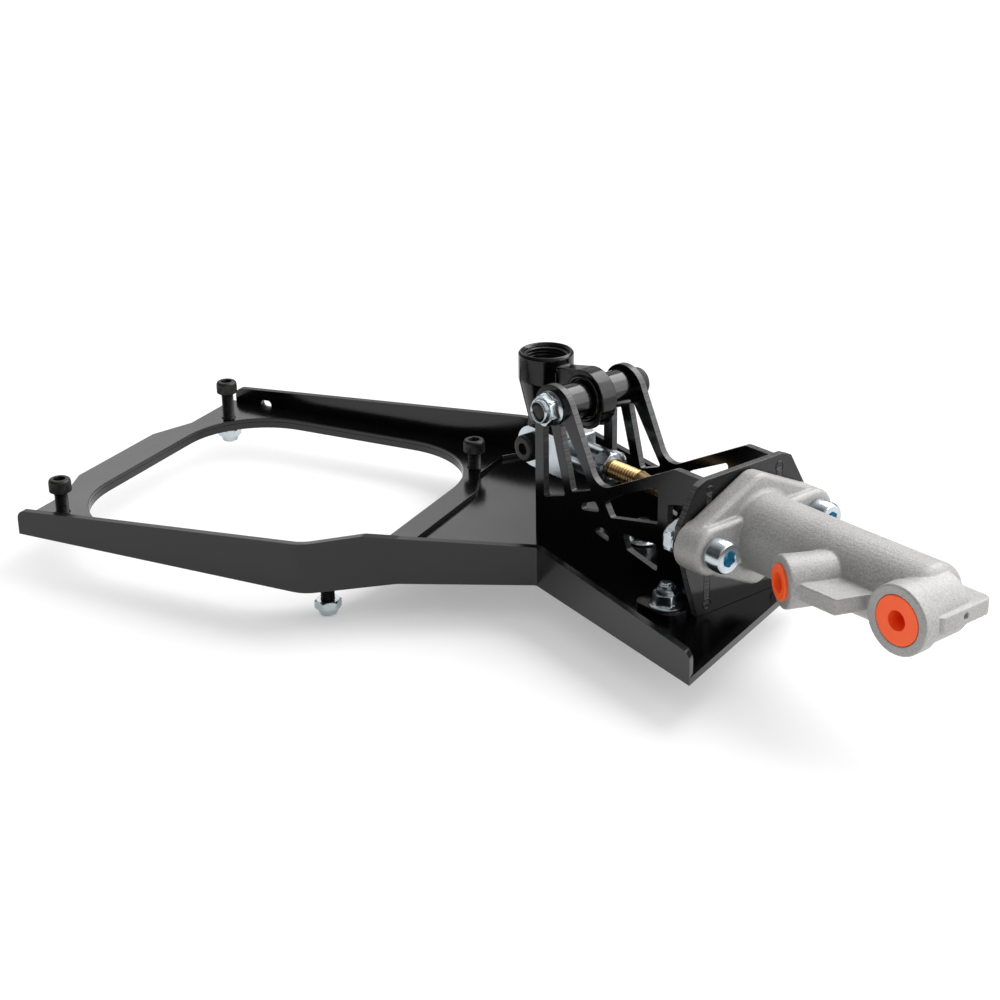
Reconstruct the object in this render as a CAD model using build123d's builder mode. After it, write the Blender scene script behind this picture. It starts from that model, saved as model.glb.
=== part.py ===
from build123d import *
from math import cos, pi, radians, sin, sqrt
import os

# Hydraulic handbrake: a folded ring bracket, a lever tower and a master cylinder.
# Millimetres, +Z up. The origin is about the middle of the four ring bolts, on the underside
# of the base sheet. The tower stands on the sheet, turned to the right of the ring.

# Sheets and the ring opening
sheet = 3.0
ring_sheet = 2.0
ring_gap = 0.3
opening_length = 148.0
opening_width = 148.0
opening_radius = 45.0
rear_far_radius = 38.0
opening_place = (-0.5, 5.5)

# Rims round the opening; the middle of the left end bulges out past its corners
near_rim = 11.5
far_rim = 15.5
left_rim = 17.0
ear_rim = 8.8
bulge_start = 24.0
bulge_end = 45.0
ear_corner = 6.0
ear_lip = (1.5, 14.0)
right_neck = 3.0
right_belly = 11.7
belly_start = 22.0
belly_end = 44.0
right_ear = 12.5

# Folded flanges: their bends beside the ring are given from the opening's right side and the
# flange's own edge, the later ones from the place of the tower
flange_inset = 2.3
flange_corner = 4.0
near_turns = [(-8.4, 0.0), (21.6, 24.7)]
near_reach = [(-82.7, -16.7), (6.1, -71.0)]
near_radii = [14.0, 12.0, 2.0]
near_heights = [8.0, 18.9, 17.3, 14.0, 10.0]
near_crest = (10.5, 19.9)
far_turn = 41.0
far_reach = (16.9, 36.8)
far_radii = [8.0]
far_heights = [8.5, 16.5, 10.0]
far_crest = (7.0, 17.8)
slot_length = 6.0
slot_width = 4.0
slot_place = (11.5, 2.4)

# Place of the tower on the sheet
tower_x = 230.5
tower_y = -15.8
tower_turn = -24.0

# Tower plates
plate = 3.0
tower_width = 42.0
pivot_x = -90.5
pivot_z = 61.8
crown_radius = 12.1
crown_offset = (0.9, -2.0)
side_height = 56.4
window_rounding = 1.2
tab_clearance = 0.1
fit = 0.05

# Front plate
front_height = 57.5
front_profile = [(24.5, 0.0), (31.7, 23.3), (34.9, 40.6), (26.1, 55.6), (21.5, front_height)]

# Tower floor and feet
ear_reach = 37.0
ear_length = 21.0
ear_rounding = 4.0
ear_gap = 0.3
floor_length = 76.0
foot_places = [(-11.5, -30.0), (-11.5, 30.0), (-63.0, 6.0)]

# Fasteners
m6 = 6.0
m6_hole = 6.6
m6_head = 10.0
m6_socket = 5.0
m8 = 8.0
m8_hole = 8.4
m8_head = 13.0
m8_socket = 6.0
m6_flange = 14.0
m8_flange = 17.0
flange_nut_height = 8.0
lock_nut_height = 6.4
nut_collar = 2.4
foot_bolt_length = 16.0
nut_overhang = 0.5

# Ring bolts: each stands past one rounded corner of the opening, in the given direction, with
# its head raised over the ring and its nut hanging under the sheet
ring_bolt_length = 20.0
bolt_land = {"rear near": 11.3, "rear far": 5.6, "front near": 11.2, "front far": 5.4}
bolt_direction = {"rear near": 222.5, "rear far": 140.7, "front near": 313.2, "front far": 32.5}
ring_head_rise = {"rear near": 10.0, "rear far": 13.2, "front near": 0.0, "front far": 7.8}
ring_nut_drop = {"rear near": 0.0, "rear far": 0.0, "front near": 8.2, "front far": 1.6}

# Lever
sleeve_diameter = 12.0
spacer_diameter = 16.0
hub_thickness = 8.0
hub_radius = 12.4
bush_wall = 1.2
socket_x = -118.8
socket_diameter = 24.0
socket_top = 75.2
socket_shoulder = 63.0
socket_bore = 19.0
socket_depth = 16.0
cone_foot = 44.0
cone_foot_radius = 7.6
arm_back = (-112.8, 60.0)
arm_back_radius = 9.5
pin_x = -118.5
pin_head = 12.0
pin_head_height = 5.0
pin_socket = 5.0
pin_nut_height = 6.5
eye_radius = 9.0

# Master cylinder and push rod
axis_z = 33.4
rod_diameter = 8.0
rod_neck = 7.0
bore_diameter = 17.8
bore_end = 88.0
flange_bolts = 57.0
flange_thickness = 12.4
bar_radius = 9.8
hill_thickness = 9.0
lobe_radius = 9.8
apex_radius = 8.0
apex_rise = 15.3
casting_rounding = 2.0
barrel_root_radius = 15.9
barrel_waist = (50.0, 15.3)
barrel_end = 97.5
barrel_end_radius = 15.1
barrel_rounding = 4.0
root_fillet = 2.0
web_thickness = 6.4
web_outline = [(56.0, 0.0), (56.0, -30.0), (74.5, -30.0), (79.0, -18.2), (88.0, -12.0), (88.0, 0.0)]
lug_start = 85.0
lug_end = 109.5
lug_width = 29.0
lug_rounding = 3.0
ball_centre = 6.0
ball_radius = 4.0
push_gap = 0.3
piston_rear = 2.0
piston_length = 32.0
spigot_diameter = 24.0
spigot_length = 8.0
clevis_width = 18.0
clevis_slot = hub_thickness + 0.6
fork_wall = 4.5
neck_width = 14.0
lock_nut_x = -78.0
lock_nut_width = 14.0
rod_nut_height = 6.6
outlet_x = 95.6
outlet_face = 21.5
outlet_disc = 27.2
outlet_disc_thickness = 7.0
outlet_boss = 25.0
outlet_boss_reach = 5.0
outlet_cap_diameter = 19.2
inlet_face = (46.9, -28.6)
inlet_lean = 25.7
inlet_boss = 20.8
inlet_boss_length = 27.0
inlet_cap_diameter = 14.0
port_thread = 10.0
port_depth = 12.0
passage = 5.0
cap_flange = 1.2
cap_stem = 8.0


# Planes: the sheet's own level and side planes, then the same three of the turned tower
def level(height):
    """A level plane above the origin."""
    return Plane.XY.offset(height)


def side(y):
    """An upright plane along the sheet, seen from the near side."""
    return Plane(origin=(0, y, 0), x_dir=(1, 0, 0), z_dir=(0, -1, 0))


forward = Vector(cos(radians(tower_turn)), sin(radians(tower_turn)), 0)
sideways = Vector(-sin(radians(tower_turn)), cos(radians(tower_turn)), 0)
tower_origin = Vector(tower_x, tower_y, sheet)


def tower_level(height):
    """A level plane of the tower, its x along the master cylinder."""
    return Plane(origin=tower_origin + Vector(0, 0, height), x_dir=forward, z_dir=(0, 0, 1))


def tower_side(y):
    """An upright plane along the tower: x forward, y up, normal to the near side."""
    return Plane(origin=tower_origin + sideways * y, x_dir=forward, z_dir=sideways * -1)


def tower_front(x):
    """An upright plane across the tower: x to the far side, y up, normal forward."""
    return Plane(origin=tower_origin + forward * x, x_dir=sideways, z_dir=forward)


def tower_axis(x, y, z, direction):
    """An axis through a tower place."""
    return Axis(tower_origin + forward * x + sideways * y + Vector(0, 0, z), direction)


# Lines of the ring and the two flanges, all worked out from the opening and the tower's place
opening_left = opening_place[0] - opening_length / 2
opening_right = opening_place[0] + opening_length / 2
opening_near = opening_place[1] - opening_width / 2
opening_far = opening_place[1] + opening_width / 2
near_edge = opening_near - near_rim
far_edge = opening_far + far_rim
left_edge = opening_left - left_rim
ear_edge = opening_left - ear_rim
flange_start = ear_edge + flange_inset
near_bends = [(flange_start, near_edge)]
near_bends += [(opening_right + x, near_edge + y) for x, y in near_turns]
near_bends += [(tower_x + x, tower_y + y) for x, y in near_reach]
far_bends = [(flange_start, far_edge), (opening_right + far_turn, far_edge),
             (tower_x + far_reach[0], tower_y + far_reach[1])]


def beside_corner(corner):
    """The place of one ring bolt, past the rounded corner of the opening."""
    radius = rear_far_radius if corner == "rear far" else opening_radius
    centre_x = opening_left + radius if corner.startswith("rear") else opening_right - radius
    centre_y = opening_near + radius if corner.endswith("near") else opening_far - radius
    reach = radius + bolt_land[corner]
    direction = radians(bolt_direction[corner])
    return centre_x + reach * cos(direction), centre_y + reach * sin(direction)


ring_places = {corner: beside_corner(corner) for corner in bolt_land}


# Fasteners, each along +Z with its seat on z = 0
def cap_screw(thread, head, length, socket):
    """Socket head cap screw: the head stands on z = 0 and the shank runs down."""
    with BuildPart() as screw:
        Cylinder(head / 2, thread, align=(Align.CENTER, Align.CENTER, Align.MIN))
        chamfer(screw.edges().group_by(Axis.Z)[-1], 0.06 * head)
        with BuildSketch(Plane.XY.offset(thread)):
            RegularPolygon(socket / 2, 6, major_radius=False)
        extrude(amount=-thread / 2, mode=Mode.SUBTRACT)
        Cylinder(thread / 2, length, align=(Align.CENTER, Align.CENTER, Align.MAX))
        chamfer(screw.edges().group_by(Axis.Z)[0], thread / 10)
    return screw.part


def locking_nut(thread, across_flats, height):
    """Locking nut on z = 0: hexagon with a round tapering collar on top."""
    hex_top = height - nut_collar
    with BuildPart() as nut:
        with BuildSketch():
            RegularPolygon(across_flats / 2, 6, major_radius=False)
        extrude(amount=hex_top)
        with BuildSketch(Plane.XY.offset(hex_top)):
            Circle(0.46 * across_flats)
        extrude(amount=nut_collar, taper=12)
        Cylinder(thread / 2 + fit, 4 * height, mode=Mode.SUBTRACT)
    return nut.part


def flange_nut(thread, across_flats, flange):
    """Locking nut with a cone flange at its foot, on z = 0."""
    with BuildPart() as nut:
        Cone(flange / 2, across_flats / 2, 0.3 * flange_nut_height,
             align=(Align.CENTER, Align.CENTER, Align.MIN))
        Cylinder(thread / 2 + fit, flange_nut_height, mode=Mode.SUBTRACT)
        add(locking_nut(thread, across_flats, flange_nut_height))
    return nut.part


def plain_nut(thread, across_flats, height):
    """Hexagon nut on z = 0 with its corners turned off at both faces."""
    with BuildPart() as nut:
        with BuildSketch():
            RegularPolygon(across_flats / 2, 6, major_radius=False)
        extrude(amount=height)
        with BuildSketch(Plane.XZ):
            with BuildLine():
                Polyline((0, 0), (0.47 * across_flats, 0), (0.6 * across_flats, 0.13 * across_flats),
                         (0.6 * across_flats, height - 0.13 * across_flats), (0.47 * across_flats, height),
                         (0, height), close=True)
            make_face()
        revolve(axis=Axis.Z, mode=Mode.INTERSECT)
        Cylinder(thread / 2 + fit, 4 * height, mode=Mode.SUBTRACT)
    return nut.part


# Base sheet: floor, two folded side flanges, ring opening, slot and bolt holes
bulge_line = [(ear_edge, opening_far - bulge_start), (left_edge, opening_far - bulge_end),
              (left_edge, opening_near + bulge_end), (ear_edge, opening_near + bulge_start)]
left_line = [(flange_start, far_edge), (ear_edge, far_edge - ear_corner), *bulge_line,
             (ear_edge - ear_lip[0], near_edge + ear_lip[1]), (flange_start, near_edge)]


def ring_opening():
    """The opening's outline: its corner at the rear on the far side is the tightest."""
    with BuildSketch() as outline:
        with Locations(opening_place):
            Rectangle(opening_length, opening_width)
        rear_far = outline.vertices().sort_by_distance((opening_left, opening_far))[0]
        fillet([vertex for vertex in outline.vertices() if vertex != rear_far], opening_radius)
        fillet(outline.vertices().sort_by_distance((opening_left, opening_far))[0], rear_far_radius)
    return outline.sketch


def folded_flange(bends, radii, heights, crest, inner_side):
    """One upright flange of the sheet, trimmed to its sloping top line with rounded ends."""
    top_line = [(x, sheet + height) for (x, y), height in zip(bends, heights)]
    top_line = sorted(top_line + [(opening_right + crest[0], sheet + crest[1])])
    with BuildPart() as flange:
        with BuildSketch(level(0)):
            with BuildLine():
                FilletPolyline(*bends, radius=radii)
                offset(amount=sheet, side=inner_side)
            make_face()
        extrude(amount=sheet + crest[1])
        with BuildSketch(side(far_edge + sheet)):
            with BuildLine():
                foot = Line((bends[0][0], -sheet), (bends[-1][0], -sheet))
                FilletPolyline(foot @ 0, *top_line, foot @ 1, radius=flange_corner)
            make_face()
        extrude(amount=2 * (far_edge - near_edge), mode=Mode.INTERSECT)
    return flange.part


near_flange = folded_flange(near_bends, near_radii, near_heights, near_crest, Side.LEFT)
far_flange = folded_flange(far_bends, far_radii, far_heights, far_crest, Side.RIGHT)

with BuildPart() as base_sheet:
    with BuildSketch(level(0)):
        with BuildLine():
            FilletPolyline(*near_bends, radius=near_radii)
            Line(near_bends[-1], far_bends[-1])
            FilletPolyline(*far_bends[::-1], radius=far_radii[::-1])
            FilletPolyline(*left_line, radius=6.0)
        make_face()
    extrude(amount=sheet)
    add(near_flange)
    add(far_flange)
    with BuildSketch(level(0)):
        add(ring_opening())
        with Locations(*ring_places.values()):
            Circle(m6_hole / 2)
    extrude(amount=sheet, mode=Mode.SUBTRACT)
    with BuildSketch(tower_level(-sheet)):
        with Locations(*foot_places):
            Circle(m6_hole / 2)
    extrude(amount=sheet, mode=Mode.SUBTRACT)
    with BuildSketch(side(far_edge - 2 * sheet)):
        with Locations((opening_left + slot_place[0], slot_place[1] + sheet)):
            SlotOverall(slot_length, slot_width)
    extrude(amount=-4 * sheet, mode=Mode.SUBTRACT)

# Ring plate on the sheet, between the flanges; its front edge goes round the two front bolts
ring_near = near_edge + sheet + ring_gap
ring_far = far_edge - sheet - ring_gap
neck_x = opening_right + right_neck
belly_x = opening_right + right_belly
front_near = ring_places["front near"]
ring_line = [(ear_edge, ring_far), *bulge_line, (ear_edge, ring_near),
             (front_near[0] - m6_head / 2, ring_near), (neck_x, front_near[1] + m6_hole / 2),
             (neck_x, opening_near + belly_start), (belly_x, opening_near + belly_end),
             (belly_x, opening_far - belly_end), (neck_x, opening_far - belly_start),
             (neck_x, opening_far), (opening_right + right_ear, ring_far)]
with BuildPart() as ring_plate:
    with BuildSketch(level(sheet)):
        with BuildLine():
            FilletPolyline(*ring_line, radius=2.0, close=True)
        make_face()
        add(ring_opening(), mode=Mode.SUBTRACT)
        with Locations(*ring_places.values()):
            Circle(m6_hole / 2, mode=Mode.SUBTRACT)
    extrude(amount=ring_sheet)

# Four cap screws stand loose in the ring, and a locking nut hangs on each, collar down
with BuildPart() as ring_bolts:
    for corner, (x, y) in ring_places.items():
        with Locations((x, y, sheet + ring_sheet + ring_head_rise[corner])):
            add(cap_screw(m6, m6_head, ring_bolt_length, m6_socket))

with BuildPart() as ring_nuts:
    for corner, (x, y) in ring_places.items():
        with Locations(Location((x, y, -ring_nut_drop[corner]), (180, 0, 0))):
            add(locking_nut(m6, m6_head, lock_nut_height))

# Tower side plates: laser-cut triangulated plates with tabs through the front plate
arm_foot = (-62.6, 33.3)
arm_top = (-17.7, side_height)
front_lean = 64.5
tab_places = [(4.5, 22.0), (37.0, 52.0)]
windows = [
    [(-96.3, 52.5), (-91.4, 53.9), (-82.6, 25.0), (-96.2, 20.1)],
    [(-86.1, 55.7), (-83.0, 56.3), (-66.0, 32.5), (-78.4, 27.9)],
    [(-74.2, 21.3), (-71.1, 25.2), (-63.8, 28.2), (-60.7, 24.4)],
    [(-66.3, 14.7), (-60.3, 17.7), (-56.0, 17.8), (-55.1, 12.8)],
    [(-58.2, 29.6), (-47.3, 36.5), (-26.8, 46.2), (-26.8, 30.2), (-54.3, 24.0)],
    [(-47.0, 19.5), (-44.5, 13.0), (-26.6, 9.4), (-26.6, 21.2)],
    [(-21.2, 40.3), (-10.4, 43.6), (-10.4, 27.0), (-21.2, 24.0)],
]


def side_plate(outer_face):
    """One side plate, extruded towards the near side from its far face."""
    lean = radians(front_lean)
    crown_x = pivot_x + crown_offset[0]
    crown_z = pivot_z + crown_offset[1]
    rear_edge = crown_x - crown_radius
    crown_tangent = (crown_x + crown_radius * sin(lean), crown_z + crown_radius * cos(lean))
    with BuildPart() as blank:
        with BuildSketch(tower_side(outer_face)):
            with BuildLine():
                Line((-plate, 0), (rear_edge, 0))
                Line((rear_edge, 0), (rear_edge, crown_z))
                ThreePointArc((rear_edge, crown_z), (crown_x, crown_z + crown_radius), crown_tangent)
                FilletPolyline(crown_tangent, arm_foot, arm_top, (-plate, side_height), radius=[8.2, 6.0])
                Line((-plate, side_height), (-plate, 0))
            make_face()
            for low, high in tab_places:
                with Locations((-plate / 2, (low + high) / 2)):
                    Rectangle(plate, high - low)
            for corners in windows:
                with BuildLine():
                    FilletPolyline(*corners, radius=window_rounding, close=True)
                make_face(mode=Mode.SUBTRACT)
            notch_length = ear_length + ear_gap
            with Locations((-plate - notch_length / 2, (plate + ear_gap) / 2)):
                Rectangle(notch_length, plate + ear_gap, mode=Mode.SUBTRACT)
            with Locations((pivot_x, pivot_z)):
                Circle(m8_hole / 2, mode=Mode.SUBTRACT)
        extrude(amount=plate)
    return blank.part


half_width = tower_width / 2
with BuildPart() as side_plate_near:
    add(side_plate(-half_width + plate))

with BuildPart() as side_plate_far:
    add(side_plate(half_width))

# Front plate across the tower, slotted for the tabs and bored for the cylinder's spigot
with BuildPart() as front_plate:
    with BuildSketch(tower_front(-plate)):
        with BuildLine():
            Polyline(*front_profile, *[(-y, z) for y, z in front_profile[::-1]], close=True)
        make_face()
        with Locations((0, axis_z)):
            Circle(spigot_diameter / 2 + 0.5, mode=Mode.SUBTRACT)
        with Locations((-flange_bolts / 2, axis_z), (flange_bolts / 2, axis_z)):
            Circle(m8_hole / 2, mode=Mode.SUBTRACT)
        for y in (-half_width + plate / 2, half_width - plate / 2):
            for low, high in tab_places:
                with Locations((y, (low + high) / 2)):
                    Rectangle(plate + 2 * tab_clearance, high - low + 2 * tab_clearance, mode=Mode.SUBTRACT)
    extrude(amount=plate)

# Tower floor: a tongue between the side plates with two front ears and three foot holes
inner_half = half_width - plate
with BuildPart() as tower_floor:
    with BuildSketch(tower_level(0)):
        with Locations((-plate - ear_length / 2, 0)):
            RectangleRounded(ear_length, 2 * ear_reach, ear_rounding)
        with Locations(((-plate - 1 - floor_length) / 2, 0)):
            RectangleRounded(floor_length - plate - 1, 2 * inner_half, ear_rounding)
        with Locations(*foot_places):
            Circle(m6_hole / 2, mode=Mode.SUBTRACT)
    extrude(amount=plate)

with BuildPart(tower_level(-sheet)) as foot_bolts:
    for x, y in foot_places:
        with Locations(Location((x, y, 0), (180, 0, 0))):
            add(cap_screw(m6, m6_head, foot_bolt_length, m6_socket))

with BuildPart(tower_level(plate)) as foot_nuts:
    for x, y in foot_places:
        with Locations((x, y, 0)):
            add(flange_nut(m6, m6_head, m6_flange))

# Pivot: bolt, nut, clamped sleeve and two spacers between the side plates
with BuildPart(tower_side(half_width)) as pivot_bolt:
    with Locations(Location((pivot_x, pivot_z, 0), (180, 0, 0))):
        add(cap_screw(m8, m8_head, tower_width + flange_nut_height + nut_overhang, m8_socket))

with BuildPart(tower_side(-half_width)) as pivot_nut:
    with Locations((pivot_x, pivot_z, 0)):
        add(flange_nut(m8, m8_head, m8_flange))

with BuildPart(tower_side(half_width - plate)) as pivot_sleeve:
    with BuildSketch(tower_side(half_width - plate)):
        with Locations((pivot_x, pivot_z)):
            Circle(sleeve_diameter / 2)
            Circle(m8_hole / 2, mode=Mode.SUBTRACT)
    extrude(amount=tower_width - 2 * plate)

bush_length = hub_thickness + 0.6
spacer_length = (tower_width - 2 * plate - bush_length) / 2 - 0.1
with BuildPart() as pivot_spacers:
    for start in (half_width - plate, -half_width + plate + spacer_length):
        with BuildSketch(tower_side(start)):
            with Locations((pivot_x, pivot_z)):
                Circle(spacer_diameter / 2)
                Circle(sleeve_diameter / 2, mode=Mode.SUBTRACT)
        extrude(amount=spacer_length)

with BuildPart() as hub_bush:
    with BuildSketch(tower_side(bush_length / 2)):
        with Locations((pivot_x, pivot_z)):
            Circle(sleeve_diameter / 2 + bush_wall)
            Circle(sleeve_diameter / 2 + fit, mode=Mode.SUBTRACT)
    extrude(amount=bush_length)

# Lever hub: ring round the pivot, arm, conical lever socket and the eye of the clevis pin
with BuildPart() as lever_hub:
    with BuildSketch(tower_side(0)):
        with BuildLine():
            CenterArc((pivot_x, pivot_z), hub_radius, 0, 360)
            CenterArc(arm_back, arm_back_radius, 0, 360)
        make_hull()
    extrude(amount=hub_thickness / 2, both=True)
    with BuildSketch(tower_side(0)):
        with BuildLine():
            CenterArc((pin_x, axis_z), eye_radius, 0, 360)
            CenterArc((socket_x, cone_foot + 3), cone_foot_radius, 0, 360)
        make_hull()
    extrude(amount=hub_thickness / 2, both=True)
    with BuildSketch(tower_side(0)):
        with BuildLine():
            rim = socket_x + socket_diameter / 2
            Polyline((socket_x, cone_foot), (socket_x + cone_foot_radius, cone_foot), (rim, socket_shoulder),
                     (rim, socket_top - 1.0), (rim - 1.0, socket_top), (socket_x, socket_top), close=True)
        make_face()
    revolve(axis=tower_axis(socket_x, 0, 0, (0, 0, 1)))
    with BuildSketch(tower_side(0)):
        with BuildLine():
            wall = socket_x + socket_bore / 2
            floor_z = socket_top - socket_depth
            Polyline((socket_x, floor_z - 3.0), (wall, floor_z), (wall, socket_top - 1.2),
                     (wall + 1.2, socket_top), (socket_x, socket_top), close=True)
        make_face()
    revolve(axis=tower_axis(socket_x, 0, 0, (0, 0, 1)), mode=Mode.SUBTRACT)
    with BuildSketch(tower_side(0)):
        with Locations((pivot_x, pivot_z)):
            Circle(sleeve_diameter / 2 + bush_wall)
        with Locations((pin_x, axis_z)):
            Circle(rod_diameter / 2 + fit)
    extrude(amount=hub_thickness, both=True, mode=Mode.SUBTRACT)

# Clevis: a round-backed fork with a threaded neck towards the lock nut
fork_back = pin_x + eye_radius + fork_wall
neck_start = fork_back + 8.0
clevis_end = lock_nut_x - rod_nut_height / 2
with BuildPart() as clevis:
    with BuildSketch(tower_side(0)):
        with BuildLine():
            CenterArc((pin_x, axis_z), clevis_width / 2, 90, 180)
            Polyline((pin_x, axis_z + clevis_width / 2), (neck_start - 2, axis_z + clevis_width / 2),
                     (neck_start + 3, axis_z + neck_width / 2), (clevis_end, axis_z + neck_width / 2),
                     (clevis_end, axis_z - neck_width / 2), (neck_start + 3, axis_z - neck_width / 2),
                     (neck_start - 2, axis_z - clevis_width / 2), (pin_x, axis_z - clevis_width / 2))
        make_face()
    extrude(amount=clevis_width / 2, both=True)
    with BuildSketch(tower_front(neck_start)):
        with Locations((0, axis_z)):
            Circle(clevis_width)
            Circle(neck_width / 2, mode=Mode.SUBTRACT)
    extrude(amount=clevis_end - fork_back, mode=Mode.SUBTRACT)
    with BuildSketch(tower_side(0)):
        with Locations(((pin_x - clevis_width + fork_back) / 2, axis_z)):
            Rectangle(fork_back - pin_x + clevis_width, clevis_width + 2)
    extrude(amount=clevis_slot / 2, both=True, mode=Mode.SUBTRACT)
    with BuildSketch(tower_side(0)):
        with Locations((pin_x, axis_z)):
            Circle(rod_diameter / 2)
    extrude(amount=clevis_width, both=True, mode=Mode.SUBTRACT)
    with BuildSketch(tower_front(fork_back)):
        with Locations((0, axis_z)):
            Circle(rod_diameter / 2)
    extrude(amount=clevis_end - fork_back, mode=Mode.SUBTRACT)

with BuildPart(tower_side(-clevis_width / 2)) as clevis_pin:
    with Locations((pin_x, axis_z, 0)):
        Cylinder(pin_head / 2, pin_head_height, align=(Align.CENTER, Align.CENTER, Align.MIN))
        Cylinder(rod_diameter / 2, clevis_width + pin_nut_height + 2 * nut_overhang,
                 align=(Align.CENTER, Align.CENTER, Align.MAX))
    with BuildSketch(tower_side(-clevis_width / 2 - pin_head_height)):
        with Locations((pin_x, axis_z)):
            RegularPolygon(pin_socket / 2, 6, major_radius=False)
    extrude(amount=-0.6 * pin_head_height, mode=Mode.SUBTRACT)

with BuildPart(tower_side(clevis_width / 2)) as clevis_pin_nut:
    with Locations(Location((pin_x, axis_z, 0), (180, 0, 0))):
        add(plain_nut(m8, m8_head, pin_nut_height))

with BuildPart(tower_front(clevis_end)) as lock_nut:
    with Locations((0, axis_z, 0)):
        add(plain_nut(rod_diameter, lock_nut_width, rod_nut_height))

# Push rod: threaded length, neck and the ball that pushes the piston
thread_end = -54.0
with BuildPart() as push_rod:
    with BuildSketch(tower_side(0)):
        with BuildLine():
            ball_foot = ball_centre - sqrt(ball_radius**2 - (rod_neck / 2) ** 2)
            l1 = Polyline((fork_back + 1, axis_z), (fork_back + 1, axis_z + rod_diameter / 2),
                          (thread_end, axis_z + rod_diameter / 2), (thread_end + 3, axis_z + rod_neck / 2),
                          (ball_foot, axis_z + rod_neck / 2))
            l2 = ThreePointArc((ball_foot, axis_z + rod_neck / 2),
                               (ball_centre + ball_radius * sin(pi / 4), axis_z + ball_radius * sin(pi / 4)),
                               (ball_centre + ball_radius, axis_z))
            Line(l2 @ 1, l1 @ 0)
        make_face()
    revolve(axis=tower_axis(0, 0, axis_z, forward))


def turned(profile):
    """A solid of (x, radius) points turned about the cylinder's axis."""
    with BuildPart() as solid:
        with BuildSketch(tower_side(0)):
            with BuildLine():
                Polyline(*[(x, axis_z + r) for x, r in profile], close=True)
            make_face()
        revolve(axis=tower_axis(0, 0, axis_z, forward))
    return solid.part


# Master cylinder casting, alike above and below its parting line at the axis: a rhombus flange
# with a thicker bar between its bolts, a tapering barrel, two port bosses, the web between
# them and the lug past the end. First its lumps, each with its own rounded edges.
cylinder_axis = tower_axis(0, 0, axis_z, forward)
near_way = tower_axis(0, 0, axis_z, sideways * -1)
inlet_direction = forward * -sin(radians(inlet_lean)) + sideways * -cos(radians(inlet_lean))
inlet_origin = tower_origin + forward * inlet_face[0] + sideways * inlet_face[1] + Vector(0, 0, axis_z)
inlet_plane = Plane(origin=inlet_origin, x_dir=(0, 0, 1), z_dir=inlet_direction)
outlet_plane = tower_side(-outlet_face)

with BuildPart() as flange_plate:
    with BuildSketch(tower_front(0)):
        with BuildLine():
            for y in (-flange_bolts / 2, flange_bolts / 2):
                CenterArc((y, axis_z), lobe_radius, 0, 360)
            for z in (axis_z - apex_rise, axis_z + apex_rise):
                CenterArc((0, z), apex_radius, 0, 360)
        make_hull()
    extrude(amount=hill_thickness)
    for end in (0, -1):
        fillet(flange_plate.faces().sort_by(cylinder_axis)[end].edges(), casting_rounding)

with BuildPart() as flange_bar:
    with BuildSketch(tower_front(0)):
        with Locations((0, axis_z)):
            SlotCenterToCenter(flange_bolts, 2 * bar_radius)
    extrude(amount=flange_thickness)
    fillet(flange_bar.faces().sort_by(cylinder_axis)[-1].edges(), casting_rounding)

with BuildPart() as barrel:
    with BuildSketch(tower_side(0)):
        with BuildLine():
            root_x = hill_thickness
            root_rim = barrel_root_radius + root_fillet + 1
            l1 = Line((barrel_end, axis_z), (0, axis_z))
            l2 = Line(l1 @ 1, (0, axis_z + root_rim))
            FilletPolyline(l2 @ 1, (root_x, axis_z + root_rim), (root_x, axis_z + barrel_root_radius),
                           (barrel_waist[0], axis_z + barrel_waist[1]),
                           (barrel_end, axis_z + barrel_end_radius), l1 @ 0,
                           radius=[0.5, root_fillet, 10 * root_fillet, barrel_rounding])
        make_face()
    revolve(axis=cylinder_axis)

with BuildPart() as inlet_lump:
    with BuildSketch(inlet_plane):
        Circle(inlet_boss / 2)
    extrude(amount=-inlet_boss_length, taper=1)
    fillet(inlet_lump.edges().sort_by(Axis(inlet_origin, inlet_direction))[-1], casting_rounding / 2)

with BuildPart() as outlet_lump:
    with BuildSketch(outlet_plane):
        with Locations((outlet_x, axis_z)):
            Circle(outlet_boss / 2)
    extrude(amount=-(outlet_face + outlet_boss_reach))
    fillet(outlet_lump.edges().sort_by(near_way)[0], casting_rounding)
    with BuildSketch(outlet_plane):
        with Locations((outlet_x, axis_z)):
            Circle(outlet_disc / 2)
    extrude(amount=-outlet_disc_thickness)
    fillet(outlet_lump.edges().sort_by(near_way)[-1], casting_rounding / 4)

with BuildPart() as parting_web:
    with BuildSketch(tower_level(axis_z - web_thickness / 2)):
        with BuildLine():
            Polyline(*web_outline, close=True)
        make_face()
    extrude(amount=web_thickness)
    fillet(parting_web.edges().filter_by(Axis.Z).sort_by(near_way)[-2:], casting_rounding / 2)

with BuildPart() as end_lug:
    with BuildSketch(tower_level(axis_z - web_thickness / 2)):
        with Locations(((lug_start + lug_end) / 2, 0)):
            RectangleRounded(lug_end - lug_start, lug_width, lug_rounding)
    extrude(amount=web_thickness)
    fillet(end_lug.faces().sort_by(Axis.Z)[-1].edges(), casting_rounding / 4)

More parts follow.
